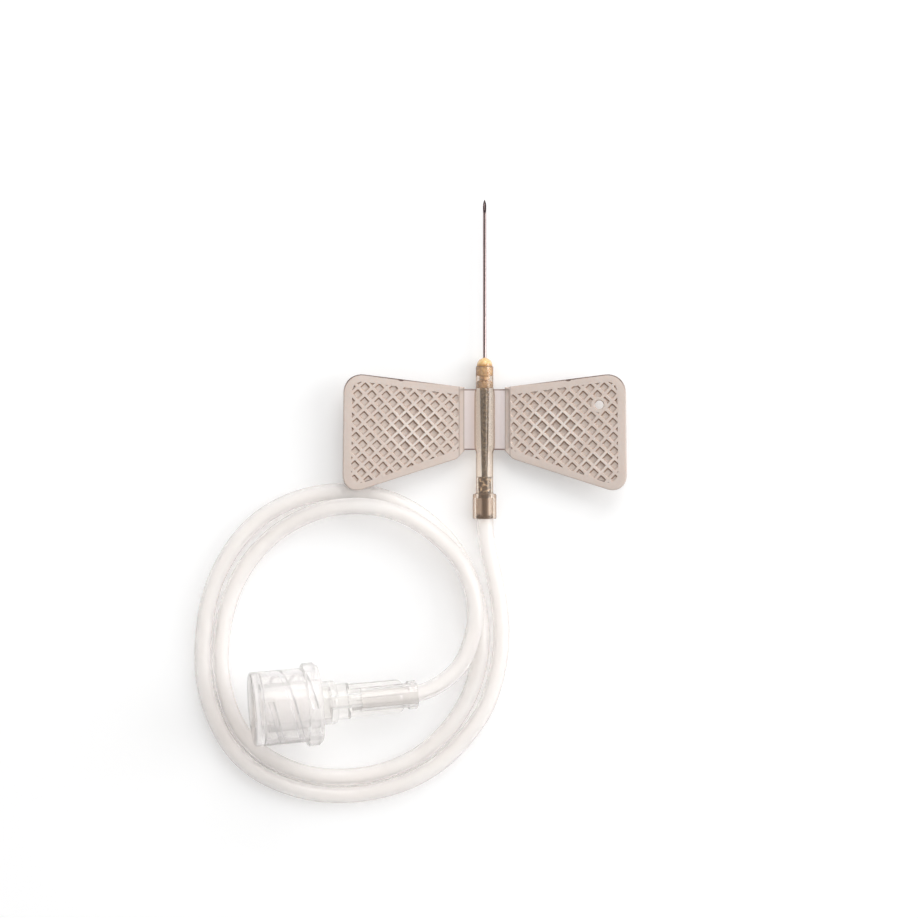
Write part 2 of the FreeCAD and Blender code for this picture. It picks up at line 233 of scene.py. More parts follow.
class Nodes:
    """A node tree and a method that adds any node to it."""

    def __init__(self, tree):
        self.tree = tree

    def link(self, value, socket):
        if isinstance(value, Value):
            value = value.socket
        if isinstance(value, bpy.types.NodeSocket):
            self.tree.links.new(value, socket)
        else:
            socket.default_value = value

    def node(self, kind, settings=None, sockets=None, output=0):
        node = self.tree.nodes.new(kind)
        for name, value in (settings or {}).items():
            setattr(node, name, value)
        for name, value in (sockets or {}).items():
            self.link(value, node.inputs[name])
        return Value(self, node.outputs[output])

    def mix(self, share, first, second):
        """Colour between first and second."""
        return self.node("ShaderNodeMix", {"data_type": "RGBA"}, {0: share, 6: first, 7: second}, output=2)

    def ramp(self, value, low, high):
        """Zero below low, one above high and a smooth slope between them."""
        return self.node("ShaderNodeMapRange", {"interpolation_type": "SMOOTHSTEP"},
                         {"Value": value, "From Min": low, "From Max": high})

    def ray(self, *kinds):
        """One for rays of these kinds, such as Camera or Shadow, and zero for the others."""
        path = self.node("ShaderNodeLightPath").socket.node
        total = Value(self, path.outputs["Is " + kinds[0] + " Ray"])
        for kind in kinds[1:]:
            total = total + Value(self, path.outputs["Is " + kind + " Ray"])
        return total.clamp()


class Shader(Nodes):
    """One material and its Principled shader."""

    def __init__(self, name, **sockets):
        self.material = bpy.data.materials.new(name)
        self.material.use_nodes = True
        super().__init__(self.material.node_tree)
        self.shader = self.tree.nodes["Principled BSDF"]
        self.put(**sockets)

    def put(self, **sockets):
        for name, value in sockets.items():
            self.link(value, self.shader.inputs[name.replace("_", " ")])

    def place(self):
        """Object coordinates in millimetres."""
        where = self.node("ShaderNodeTexCoord", output=3)
        return self.node("ShaderNodeMapping", {}, {"Vector": where, "Scale": (1 / MM,) * 3})

    def axis(self, index):
        """Object coordinate in millimetres along X, Y or Z."""
        return self.node("ShaderNodeSeparateXYZ", {}, {"Vector": self.place()}, output=index)

    def facing(self, index):
        """The surface's own direction along X, Y or Z, from -1 to 1."""
        towards = self.node("ShaderNodeTexCoord", output=1)
        return self.node("ShaderNodeSeparateXYZ", {}, {"Vector": towards}, output=index)

    def noise(self, size, detail=3.0, roughness=0.5, stretch=(1, 1, 1)):
        """Noise whose blobs are about size millimetres across."""
        where = self.node("ShaderNodeMapping", {}, {"Vector": self.place(), "Scale": stretch})
        return self.node("ShaderNodeTexNoise", {}, {
            "Vector": where, "Scale": 1 / size, "Detail": detail, "Roughness": roughness})

    def attribute(self, name):
        return self.node("ShaderNodeAttribute", {"attribute_name": name}, output=2)

    def rim(self, low, high):
        """Painted edge shade: one where the surface turns away from the eye, where thick clear plastic looks
        darker.
        """
        weight = self.node("ShaderNodeLayerWeight", {}, {"Blend": 0.5}, output=1)
        return self.ramp(weight, low, high)

    def bump(self, height, distance):
        """Bump that is distance millimetres deep."""
        sockets = {"Height": height, "Distance": distance * MM, "Strength": 1.0}
        self.put(Normal=self.node("ShaderNodeBump", {}, sockets))

    def let_light_by(self, share, tint):
        """Let a share of the light through to what lies behind, so that its shadow stays pale."""
        clear = self.node("ShaderNodeBsdfTransparent", {}, {"Color": tint})
        mixed = self.node("ShaderNodeMixShader", {}, {0: self.ray("Shadow") * share, 2: clear})
        self.link(self.shader.outputs[0], mixed.socket.node.inputs[1])
        self.link(mixed, self.tree.nodes["Material Output"].inputs["Surface"])


def rgb(red, green, blue):
    """Linear colour from the 0 to 255 values that a picture shows."""
    linear = [((c / 255 + 0.055) / 1.055) ** 2.4 if c > 10 else c / 255 / 12.92 for c in (red, green, blue)]
    return (*linear, 1.0)


# %% [markdown]
# Camera, floor and light
#
# The set is seen from straight above on white, with very soft grey shadows that fall to the
# left and down. Two wide lamps give them, one beyond the needle's tip and one low on the
# right, and a pale sky fills the rest. The floor's own white is a little grey, so that less
# light bounces off it; a faint glow, for the eye and for reflections, lifts it back to white.
# Through clear plastic that glow is a little stronger, which makes up for the light that real
# plastic gathers. Glossy pieces see a darker patch overhead, as if the camera were mirrored.

# %% Camera
photo_side = 918
pixels_per_mm = 8.3
photo_origin = (484.5, 359.5)
camera_height = 420.0
sensor_width = 36.0
view_middle = photo_side / 2
camera_data = bpy.data.cameras.new("camera")
camera = bpy.data.objects.new("camera", camera_data)
bpy.context.collection.objects.link(camera)
aim = Vector((view_middle - photo_origin[0], photo_origin[1] - view_middle, 0))
camera.location = aim / pixels_per_mm * MM
camera.location.z = camera_height * MM
camera_data.sensor_width = sensor_width
camera_data.lens = sensor_width * camera_height * pixels_per_mm / photo_side
camera_data.clip_start = 0.01
bpy.context.scene.camera = camera

# %% Floor
scene = bpy.context.scene
scene.view_settings.view_transform = "Standard"
floor_side = 6.0
floor_drop = 0.00002
floor_albedo = 0.82
floor_lift = 0.19
floor_lift_through = 0.1
black = (0.0, 0.0, 0.0, 1.0)
white = (1.0, 1.0, 1.0, 1.0)

bpy.ops.object.select_all(action="DESELECT")
bpy.ops.mesh.primitive_plane_add(size=floor_side, location=(0, 0, -floor_drop))
floor = active()
floor.name = "floor"
floor_shader = Shader("floor_white", Roughness=0.9, Specular_IOR_Level=0.0)
floor_shader.put(Base_Color=(floor_albedo,) * 3 + (1.0,), Emission_Strength=1.0)
seen_by = floor_shader.ray("Camera", "Glossy", "Transmission")
lift = seen_by * floor_lift + floor_shader.ray("Transmission") * floor_lift_through
floor_shader.put(Emission_Color=floor_shader.mix(lift, black, white))
floor.data.materials.append(floor_shader.material)

# %% Sky
sky_low = 0.28
sky_high = 0.62
sky_low_until = 0.45
dark_overhead = 0.42
dark_overhead_from = 0.72
dark_overhead_full = 0.97
world = bpy.data.worlds.new("sky")
scene.world = world
world.use_nodes = True
sky = Nodes(world.node_tree)
height = sky.node("ShaderNodeSeparateXYZ", {}, {"Vector": sky.node("ShaderNodeTexCoord")}, output=2)
shade = sky.node("ShaderNodeMapRange", {"interpolation_type": "SMOOTHSTEP"}, {
    "Value": height, "From Min": 0.0, "From Max": sky_low_until, "To Min": sky_low, "To Max": sky_high})
overhead = sky.ramp(height, dark_overhead_from, dark_overhead_full) * sky.ray("Glossy") * dark_overhead
seen = sky.ray("Camera")
background = sky.tree.nodes["Background"]
sky.link((shade - overhead) * (1 - seen) + seen, background.inputs["Strength"])
background.inputs["Color"].default_value = white


# %% Lamps
lit_middle = Vector((-0.008, -0.018, 0))
lamp_distance = 0.7


def lamp(name, bearing, rise, size, level):
    """A round lamp at a bearing clockwise from +Y; on white paper it alone shows as level."""
    data = bpy.data.lights.new(name, "AREA")
    data.shape = "DISK"
    data.size = size
    bearing = math.radians(bearing)
    rise = math.radians(rise)
    data.energy = level * (math.pi * lamp_distance) ** 2 / math.sin(rise)
    level_way = Vector((math.sin(bearing), math.cos(bearing), 0))
    away = level_way * math.cos(rise) + Vector((0, 0, math.sin(rise)))
    obj = bpy.data.objects.new(name, data)
    bpy.context.collection.objects.link(obj)
    obj.location = lit_middle + away * lamp_distance
    obj.rotation_euler = away.to_track_quat("Z", "Y").to_euler()
    print(name, "watts:", round(data.energy, 2))


lamp("window_lamp", bearing=16, rise=38, size=0.56, level=0.3)
lamp("side_lamp", bearing=80, rise=28, size=0.5, level=0.23)

# %% [markdown]
# Finishes
#
# The finishes are smoke-brown moulding for the wings, the same plastic thinner as pale film
# and clearer as the hub, amber glue, ground steel, and three clear plastics for the tube, the
# connector and the cap. Clear plastic is a shader that lets light through and bends it; a
# little roughness keeps the look of a moulded part rather than of glass. Shadows of clear
# things are pale, so each finish also says how much light it lets by. Lengths are in mm,
# along the hub from its back.

# %% Materials
def smoke_finish():
    shader = Shader("smoke_plastic", Roughness=0.34, IOR=1.5)
    shader.put(Subsurface_Weight=0.3, Subsurface_Scale=0.0004, Subsurface_Radius=(1.0, 0.75, 0.6))
    speckle = shader.noise(0.35, 4.0)
    cloudy = shader.noise(2.5, 2.0)
    # Painted highlight: the pad's ridge tops are lighter.
    tone = shader.mix(shader.attribute("crest"), rgb(214, 200, 191), rgb(228, 217, 209))
    # Painted shade: pit walls and floors are darker, and walls facing south darker still, away from the light.
    tone = shader.mix(shader.attribute("wall") * 0.5, tone, rgb(170, 148, 132))
    painted_wall_shade = shader.attribute("wall") * (1 - shader.ramp(shader.facing(1), -0.35, -0.05))
    tone = shader.mix(painted_wall_shade, tone, rgb(152, 127, 110))
    shade = (speckle - 0.5) * 0.16 + (cloudy - 0.5) * 0.14
    tone = shader.mix((shade + 0.06).clamp(), tone, rgb(160, 135, 118))
    # Darker along the wing's inner edge, with painted shade at the band's step and on the north edges.
    across = shader.axis(0).maths("ABSOLUTE")
    inner_edge_line = 1 - shader.ramp(across, 2.53, 2.63)
    band_step_shade = shader.ramp(across, 2.94, 3.0) * (1 - shader.ramp(across, 3.08, 3.16))
    lines_and_painted_shade = (inner_edge_line + band_step_shade) * 0.32 + shader.attribute("rim")
    shader.put(Base_Color=shader.mix(lines_and_painted_shade.clamp(), tone, rgb(104, 82, 74)))
    shader.bump(speckle, 0.01)
    shader.let_light_by(0.4, rgb(240, 232, 226))
    return shader.material


def film_finish():
    shader = Shader("smoke_film", Roughness=0.3, IOR=1.5)
    shader.put(Subsurface_Weight=0.3, Subsurface_Scale=0.0004, Subsurface_Radius=(1.0, 0.85, 0.8))
    tone = shader.mix(shader.noise(0.8, 3.0) * 0.35, rgb(222, 212, 210), rgb(208, 195, 192))
    film_middle_y = -7.25
    film_reach = 3.5
    from_middle = (shader.axis(1) - film_middle_y).maths("ABSOLUTE")
    # Painted shade: a thin dark line along each end of the film.
    painted_end_shade = shader.ramp(from_middle, film_reach - 0.04, film_reach + 0.04)
    shader.put(Base_Color=shader.mix(painted_end_shade, tone, rgb(134, 110, 103)))
    shader.let_light_by(0.75, rgb(244, 238, 236))
    return shader.material


def hub_finish():
    """Clear brown plastic, stained where glue has run: in the cavity and round the tube; painted edge shade, and
    painted shade in a strip down the socket's middle.
    """
    shader = Shader("hub_plastic", Roughness=0.05, IOR=1.42, Transmission_Weight=0.93)
    tone = shader.mix(shader.noise(0.9, 3.0) * 0.4, rgb(254, 244, 233), rgb(244, 229, 214))
    # Painted edge shade: darker towards the hub's silhouette.
    tone = shader.mix(shader.rim(0.42, 0.55), tone, rgb(172, 144, 122))
    across = shader.axis(0)
    along = shader.axis(1) - hub_back
    up = shader.axis(2) - hub_axis_z
    square = across * across + up * up
    collar_top, cavity_top = 2.9, 5.06
    in_collar = 1 - shader.ramp(along, collar_top, collar_top + 0.15)
    tone = shader.mix(in_collar * 0.3, tone, rgb(200, 174, 152))
    cavity = (1 - shader.ramp(square, 0.66, 0.72)) * (1 - shader.ramp(along, cavity_top, cavity_top + 0.02))
    blotch = shader.ramp(shader.noise(0.4, 4.0, 0.6), 0.47, 0.61)
    tone = shader.mix(cavity, tone, shader.mix(blotch, rgb(70, 50, 32), rgb(238, 216, 184)))
    # Inside the socket: darker all over round the tube, darker towards its back end, and painted shade in a strip
    # down its middle, where the collar acts as a lens.
    socket = (1 - shader.ramp(square, 1.15, 1.25)) * (1 - shader.ramp(along, 2.6, 2.8))
    lens_shade_streak = 1 - shader.ramp(across.maths("ABSOLUTE"), 0.12, 0.62)
    band = 1 - shader.ramp(along + shader.noise(0.5, 2.0) * 0.4, 0.4, 0.9)
    glue_stain_and_lens_shade = (lens_shade_streak * 0.8).maths("MAXIMUM", band) + 0.26
    shader.put(Base_Color=shader.mix((socket * glue_stain_and_lens_shade).clamp(), tone, rgb(74, 56, 40)))
    shader.bump(shader.noise(0.4, 2.0), 0.006)
    shader.let_light_by(0.82, rgb(242, 230, 218))
    return shader.material


def glue_finish():
    """Clear amber in the dome, duller down the cup and the bulb, and olive in the core."""
    core_top, bulb_top, cup_top, dome_foot = 15.2, 16.6, 18.2, 18.36
    shader = Shader("amber_glue", Roughness=0.1, IOR=1.5, Coat_Weight=1.0, Coat_Roughness=0.03)
    shader.put(Subsurface_Weight=0.3, Subsurface_Scale=0.0003, Subsurface_Radius=(1.0, 0.6, 0.25))
    along = shader.axis(1) - hub_back
    spots = shader.ramp(shader.noise(0.3, 4.0, 0.6), 0.35, 0.65)
    amber = shader.mix(spots, rgb(244, 208, 150), rgb(228, 184, 120))
    amber = shader.mix(shader.ramp(along, dome_foot, dome_foot + 0.34), rgb(186, 136, 78), amber)
    cup = shader.mix(spots, rgb(214, 178, 130), rgb(190, 150, 102))
    bulb = shader.mix(spots, rgb(190, 158, 118), rgb(140, 110, 76))
    core = shader.mix(spots, rgb(110, 92, 68), rgb(74, 60, 42))
    tone = shader.mix(shader.ramp(along, cup_top, cup_top + 0.2), cup, amber)
    tone = shader.mix(shader.ramp(along, bulb_top, bulb_top + 0.3), bulb, tone)
    tone = shader.mix(shader.ramp(along, core_top, core_top + 0.6), core, tone)
    shader.put(Base_Color=tone)
    shader.bump(spots, 0.015)
    return shader.material


def steel_finish():
    shader = Shader("needle_steel", Roughness=0.28, Metallic=1.0)
    streaks = shader.noise(0.06, 3.0, stretch=(1.0, 0.04, 1.0))
    tone = shader.mix(streaks, rgb(156, 132, 132), rgb(200, 184, 181))
    # Painted shade: the bevel and lancet facets, which face towards the tip, are painted dark.
    bevel_shade = shader.ramp(shader.facing(1), 0.12, 0.2)
    shader.put(Base_Color=shader.mix(bevel_shade, tone, rgb(44, 30, 34)))
    shader.put(Roughness=streaks * 0.12 + 0.14)
    shader.bump(streaks, 0.002)
    return shader.material


def tube_finish():
    shader = Shader("clear_tube", Roughness=0.15, IOR=1.34, Transmission_Weight=0.7)
    shader.put(Specular_IOR_Level=0.4)
    tone = shader.mix(shader.noise(6.0, 2.0), rgb(254, 251, 249), rgb(255, 254, 253))
    # Painted edge shade: a touch darker towards the tube's silhouette.
    shader.put(Base_Color=shader.mix(shader.rim(0.5, 0.9), tone, rgb(250, 246, 243)))
    shader.let_light_by(0.74, rgb(252, 249, 247))
    return shader.material


def luer_finish():
    shader = Shader("clear_plastic", Roughness=0.05, IOR=1.46, Transmission_Weight=0.82)
    tone = shader.mix(shader.noise(2.0, 2.0), rgb(244, 242, 240), rgb(249, 248, 247))
    # Painted edge shade: darker towards the connector's silhouette.
    shader.put(Base_Color=shader.mix(shader.rim(0.55, 0.9), tone, rgb(218, 213, 210)))
    shader.bump(shader.noise(1.2, 2.0), 0.01)
    shader.let_light_by(0.85, rgb(252, 250, 248))
    return shader.material


def cap_finish():
    shader = Shader("frosted_plastic", Roughness=0.11, IOR=1.36, Transmission_Weight=0.76)
    tone = shader.mix(shader.noise(1.5, 3.0), rgb(251, 249, 248), rgb(254, 253, 253))
    # Painted edge shade: darker towards the cap's silhouette.
    shader.put(Base_Color=shader.mix(shader.rim(0.6, 0.95), tone, rgb(228, 224, 221)))
    shader.bump(shader.noise(0.8, 3.0), 0.012)
    shader.let_light_by(0.85, rgb(252, 250, 249))
    return shader.material


smoke = smoke_finish()
film_plastic = film_finish()
hub_plastic = hub_finish()
glue = glue_finish()
steel = steel_finish()
tube_plastic = tube_finish()
luer_plastic = luer_finish()
cap_plastic = cap_finish()

# %% [markdown]
# Tube
#
# The tube is 25 cm of soft clear tubing. It leaves the collar, takes two loose turns and
# curls in to the connector, riding over its own first turn on the way. A NURBS curve through
# a few listed points gives the lazy, uneven bends of something that flexible; a wall of
# real thickness is added afterwards, so that light finds the bore.

# %% Route of the tube
tube_diameter = 2.0
tube_bore = 1.2
tube_in_hub = 2.5
tube_straight = 1.85
luer_mouth = Vector(mounts["luer_socket"]["pos_m"]) / MM
luer_direction = Vector(mounts["luer_socket"]["axis"]).normalized()
barrel_end = 18.5
socket_depth = 6.7
mouth_standoff = 0.4
socket_middle_drop = 0.02
loop_centre = Vector((-16.8, -34.4, 0))
first_bearing = -28
bearing_step = 26
turn_reaches = (
    18.7, 18.6, 18.3, 18.6, 19.1, 18.1, 17.3, 17.9, 18.9, 19.05, 18.9, 18.2, 17.2, 16.7,
    16.4, 16.3, 16.1, 16.55, 16.9, 15.7, 15.05, 15.5, 16.25, 17.1, 17.75, 17.6,
)
climb_from = 22
climb_heights = (1.05, 2.35, 3.0, 3.08)
leaving_points = (
    (1.0, -25.3, 1.0),
    (1.87, -29.5, 1.0),
    (2.11, -33.9, 1.0),
    (1.4, -38.4, 1.0),
)
arriving_points = (
    (-1.48, -26.95, 3.08),
    (-0.95, -30.8, 3.08),
    (-1.65, -34.05, 3.07),
    (-2.85, -36.85, 3.02),
    (-5.25, -38.95, 2.97),
)


def tube_route():
    """Corner points of the route, from inside the collar to inside the connector, in mm."""
    points = [Vector((0, hub_back + tube_in_hub, hub_axis_z)),
              Vector((0, hub_back - tube_straight, hub_axis_z))]
    points += [Vector(p) for p in leaving_points]
    for i, reach in enumerate(turn_reaches):
        bearing = math.radians(first_bearing - bearing_step * i)
        step = i - climb_from
        height = climb_heights[min(step, len(climb_heights) - 1)] if step >= 0 else tube_diameter / 2
        points.append(loop_centre + Vector((reach * math.cos(bearing), reach * math.sin(bearing), height)))
    points += [Vector(p) for p in arriving_points]
    mouth = luer_mouth - luer_direction * barrel_end
    points.append(mouth - luer_direction * mouth_standoff)
    points.append(mouth + luer_direction * (socket_depth / 2) - Vector((0, 0, socket_middle_drop)))
    points.append(mouth + luer_direction * socket_depth)
    return points


# %% Tube from its route
route = tube_route()
line = bpy.data.curves.new("tube_line", "CURVE")
line.dimensions = "3D"
spline = line.splines.new("NURBS")
spline.points.add(len(route) - 1)
for point, corner in zip(spline.points, route):
    point.co = (*(corner * MM), 1.0)
spline.order_u = 3
spline.use_endpoint_u = True
spline.resolution_u = 12
line.resolution_u = 12
tube = bpy.data.objects.new("tube_line", line)
bpy.context.collection.objects.link(tube)
plain = bpy.data.meshes.new_from_object(tube)
tube_path = [tuple(v.co) for v in plain.vertices]
tube_length = sum((Vector(a) - Vector(b)).length for a, b in zip(tube_path, tube_path[1:]))
print("tube length in mm:", round(tube_length / MM, 1), "points:", len(tube_path))
line.bevel_depth = tube_diameter / 2 * MM
line.bevel_resolution = 14
only(tube)
bpy.ops.object.convert(target="MESH")
tube = active()
modify(tube, "SOLIDIFY", thickness=(tube_diameter - tube_bore) / 2 * MM, offset=-1.0, use_rim=True)
smooth(tube, 40)
place(tube, "soft_tube", "root", tube_plastic, Matrix.Scale(1 / MM, 4))
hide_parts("tube")

# %% [markdown]
# Wings
#
# Each wing is a soft moulded plate with rows of sunk diamonds for grip. One diamond is made
# by hand as a cutter with rounded corners, a sloping wall and a flared lip, then copied over
# a grid that is turned a little, trimmed to the smooth border, and cut out of the plate in
# one go. The ridges are real geometry; painted shade in the pits and on the north edges and a
# painted highlight on the pad's ridge tops are laid over them.

# %% Wing sizes
film_thickness = 0.3
film_pivot_x = joints["right_wing_fold"]["pos_m"][0] / MM
wing_inner_x = 2.45
wing_half_span = 17.1
wing_thickness = 0.85
wing_dihedral = math.radians(6.0)
root_front = -3.525
root_back = -10.975
wing_front_lead = 0.15
wing_front_rise = 1.8
wing_back_drop = 5.4
wing_front_corner = 2.2
wing_back_corner = 1.8
wing_neck_corner = 0.8
wing_edge_taper = 0.15
wing_neck_x = 3.4
wing_neck_drop = 1.0
band_end_x = 3.05
band_sunk = 0.26
diamond_pitch = 1.7
diamond_ridge = 0.3
diamond_depth = 0.2
diamond_row = Vector((6.8, -4.6, 0))
diamond_row_turn = math.radians(2.5)
diamond_border = 1.0
pad_depth = 0.32
pad_ridge = 0.24
pad_radius = 2.85
pad_middle = Vector((8.55, -8.4, 0))
spot_middle = Vector((13.95, -12.45, 0))
spot_radius = 1.25
hole_middle = Vector((13.8, -5.5, 0))
hole_diameter = 1.05
hole_ring_diameter = 1.9
wing_top = wing_thickness / 2
edge_round = 0.14
rim_width = 0.8
nick_depth = 0.26
nick_radius = 0.6
nick_x = 10.1


# %% Outline of a wing
def wing_outline(inset):
    """Five corners of the wing in plan with their rounding, moved inwards by inset."""
    front = root_front + wing_front_lead
    front_slope = wing_front_rise / (wing_half_span - wing_inner_x)
    back_slope = (wing_back_drop - wing_neck_drop) / (wing_half_span - wing_neck_x)
    front_inset = inset * math.hypot(1, front_slope)
    back_inset = inset * math.hypot(1, back_slope)
    neck = root_back - wing_neck_drop + back_inset
    return [
        (wing_inner_x, front - front_inset, 0),
        (wing_half_span - inset - wing_edge_taper, front + wing_front_rise - front_inset,
         wing_front_corner - inset),
        (wing_half_span - inset, root_back - wing_back_drop + back_inset, wing_back_corner - inset / 2),
        (wing_neck_x, neck, wing_neck_corner),
        (wing_inner_x, neck + (wing_neck_x - wing_inner_x) * 1.05, 0),
    ]


def plate(corners, low, high, segments=10):
    """A flat plate over the corners, its upright edges rounded one by one."""
    bpy.ops.object.select_all(action="DESELECT")
    bpy.ops.mesh.primitive_circle_add(vertices=len(corners), radius=1, fill_type="NGON", enter_editmode=True)
    mesh = bmesh.from_edit_mesh(active().data)
    mesh.verts.ensure_lookup_table()
    for vert, (x, y, _) in zip(mesh.verts, corners):
        vert.co = (x, y, low)
    bmesh.update_edit_mesh(active().data)
    bpy.ops.mesh.select_all(action="SELECT")
    bpy.ops.mesh.extrude_region_move(TRANSFORM_OT_translate={"value": (0, 0, high - low)})
    count = len(corners)
    halfway = (low + high) / 2
    for i, (x, y, radius) in enumerate(corners):
        if radius <= 0:
            continue
        here = Vector((x, y))
        before = Vector(corners[i - 1][:2]) - here
        after = Vector(corners[(i + 1) % count][:2]) - here
        offset = radius / math.tan(before.angle(after) / 2)
        bpy.ops.mesh.select_mode(type="EDGE")
        pick("edges", lambda e, m: (Vector(m[:2]) - here).length < 1e-3 and abs(m.z - halfway) < 1e-4)
        bpy.ops.mesh.bevel(offset=offset, segments=segments, affect="EDGES")
    return clean(leave())


# %% One diamond as a cutter
def diamond_cutter(ridge, corner, levels):
    """Closed cutter of stacked diamonds: lip, wall, floor. Its mouth is at Z = wing_top."""
    reach = diamond_pitch / 2 - ridge * math.sqrt(2) / 2
    first = levels[0][0]
    bpy.ops.object.select_all(action="DESELECT")
    bpy.ops.mesh.primitive_circle_add(vertices=4, radius=reach * first, fill_type="NGON",
                                      location=(0, 0, 0), enter_editmode=True)
    bpy.ops.mesh.bevel(offset=corner, segments=3, affect="VERTICES")
    size = reach * first
    height = 0.0
    for share, level in levels:
        step = {"value": (0, 0, level - height)}
        if level == levels[0][1]:
            bpy.ops.mesh.select_all(action="SELECT")
            bpy.ops.transform.translate(**step)
        else:
            bpy.ops.mesh.extrude_region_move(TRANSFORM_OT_translate=step)
            factor = reach * share / size
            bpy.ops.transform.resize(value=(factor, factor, 1), center_override=(0, 0, 0))
            size = reach * share
        height = level
    obj = clean(leave(), 0.0001)
    obj.data.transform(Matrix.Translation((0, 0, wing_top)) @ Matrix.Rotation(diamond_row_turn, 4, "Z"))
    return obj


# %% Which diamond a point belongs to
half_pitch = diamond_pitch / 2
grid_turn = Matrix.Rotation(diamond_row_turn, 3, "Z")


def diamond_centre(column, row):
    return diamond_row + grid_turn @ Vector((column * half_pitch, row * half_pitch, 0))


def is_deep(at, side):
    """Whether the diamond centred here lies in the round pad, or in the right wing's spot."""
    return (at - pad_middle).length < pad_radius or side > 0 and (at - spot_middle).length < spot_radius


def nearest_centre(point):
    local = grid_turn.inverted() @ (Vector((point.x, point.y, 0)) - diamond_row) / half_pitch
    around = [(math.floor(local.x) + i, math.floor(local.y) + j) for i in (0, 1) for j in (0, 1)]
    column, row = min((cell for cell in around if sum(cell) % 2 == 0),
                      key=lambda cell: abs(cell[0] - local.x) + abs(cell[1] - local.y))
    return diamond_centre(column, row)


# %% All the diamonds of one wing
def wing_cutters(side):
    """Every diamond of a wing, trimmed to the border and round the hole."""
    shallow = diamond_cutter(diamond_ridge, 0.13, (
        (1.12, 0.05), (1.02, 0.01), (0.97, -0.02), (0.93, -0.05), (0.7, -diamond_depth * 0.85),
        (0.64, -diamond_depth * 0.98), (0.5, -diamond_depth)))
    deep = diamond_cutter(pad_ridge, 0.06, (
        (1.06, 0.05), (1.01, 0.01), (0.99, -0.02), (0.96, -0.05), (0.68, -pad_depth * 0.85),
        (0.62, -pad_depth * 0.97), (0.5, -pad_depth)))
    half = half_pitch
    field = plate(wing_outline(diamond_border), -0.5, wing_top + 0.2, 6)
    low = Vector(field.bound_box[0])
    high = Vector(field.bound_box[6])
    copies = []
    reach = int(wing_half_span / half) + 2
    for column in range(-reach, reach):
        for row in range(-reach, reach):
            at = diamond_centre(column, row)
            outside = not (low.x - half < at.x < high.x + half and low.y - half < at.y < high.y + half)
            if (column + row) % 2 or outside:
                continue
            copies.append(copied(deep if is_deep(at, side) else shallow, at))
    print("diamonds laid out:", len(copies))
    bpy.data.objects.remove(shallow)
    bpy.data.objects.remove(deep)
    band = plate([(0, 0, 0), (band_end_x + 0.12, 0, 0), (band_end_x + 0.12, -20, 0), (0, -20, 0)], -1, 1)
    boolean(field, band, "DIFFERENCE")
    cutters = boolean(joined(copies), field, "INTERSECT")
    if side > 0:
        ring = turned([(hole_ring_diameter / 2, -1), (hole_ring_diameter / 2, 1)], 40)
        ring.data.transform(Matrix.Translation(hole_middle))
        boolean(cutters, ring, "DIFFERENCE")
    return cutters


# %% Where the plastic looks darker or brighter
def edge_distance(point):
    """How far a point lies inside the wing's outline, corners taken as sharp."""
    corners = [Vector(corner[:2]) for corner in wing_outline(0)]
    nearest = 10.0
    for i, corner in enumerate(corners[1:], 1):
        along = corner - corners[i - 1]
        gap = along.x * (point.y - corners[i - 1].y) - along.y * (point.x - corners[i - 1].x)
        nearest = min(nearest, -gap / along.length)
    return nearest


def mark_wing(wing, side):
    """Write painted shade for pit walls and floors and the north edges, and painted highlight for the pad's ridge
    tops.
    """
    tone = {name: wing.data.attributes.new(name, "FLOAT", "POINT") for name in ("wall", "crest", "rim")}
    for i, vert in enumerate(wing.data.vertices):
        sunk = wing_top - vert.co.z
        # Painted edge shade on the outline's north-facing sides.
        if edge_distance(vert.co) < rim_width:
            north = max(vert.normal.to_2d().normalized().y, 0.0)
            on_side = 0.001 < sunk < wing_thickness - 0.001 and vert.co.x > band_end_x + 0.2
            tone["rim"].data[i].value = min(north * 1.4 + 0.1, 1.0) if on_side else 0.0
        # Painted shade in the pits; painted highlight on the pad's ridge tops.
        elif vert.co.x > band_end_x + 0.3 and sunk < pad_depth + 0.02:
            deep = is_deep(nearest_centre(vert.co), side)
            share = sunk / (pad_depth if deep else diamond_depth)
            tone["wall"].data[i].value = 0.25 if share > 0.99 else 0.4 if share > 0.9 else min(share * 5, 1.0)
            tone["crest"].data[i].value = 1.0 if deep and share < 0.2 else 0.0


def gate_nick():
    """Cutter for a shallow nick in the front edge, where the plastic ran into the mould."""
    front = Vector(wing_outline(0)[0][:2])
    along = (Vector(wing_outline(0)[1][:2]) - front).normalized()
    outwards = Vector((-along.y, along.x))
    at = front + along * ((nick_x - front.x) / along.x) + outwards * (nick_radius - nick_depth)
    nick = turned([(nick_radius - 0.15, wing_top - 0.4), (nick_radius, wing_top - 0.2),
                   (nick_radius, 1.0)], 48)
    nick.data.transform(Matrix.Translation((at.x, at.y, 0)))
    return nick


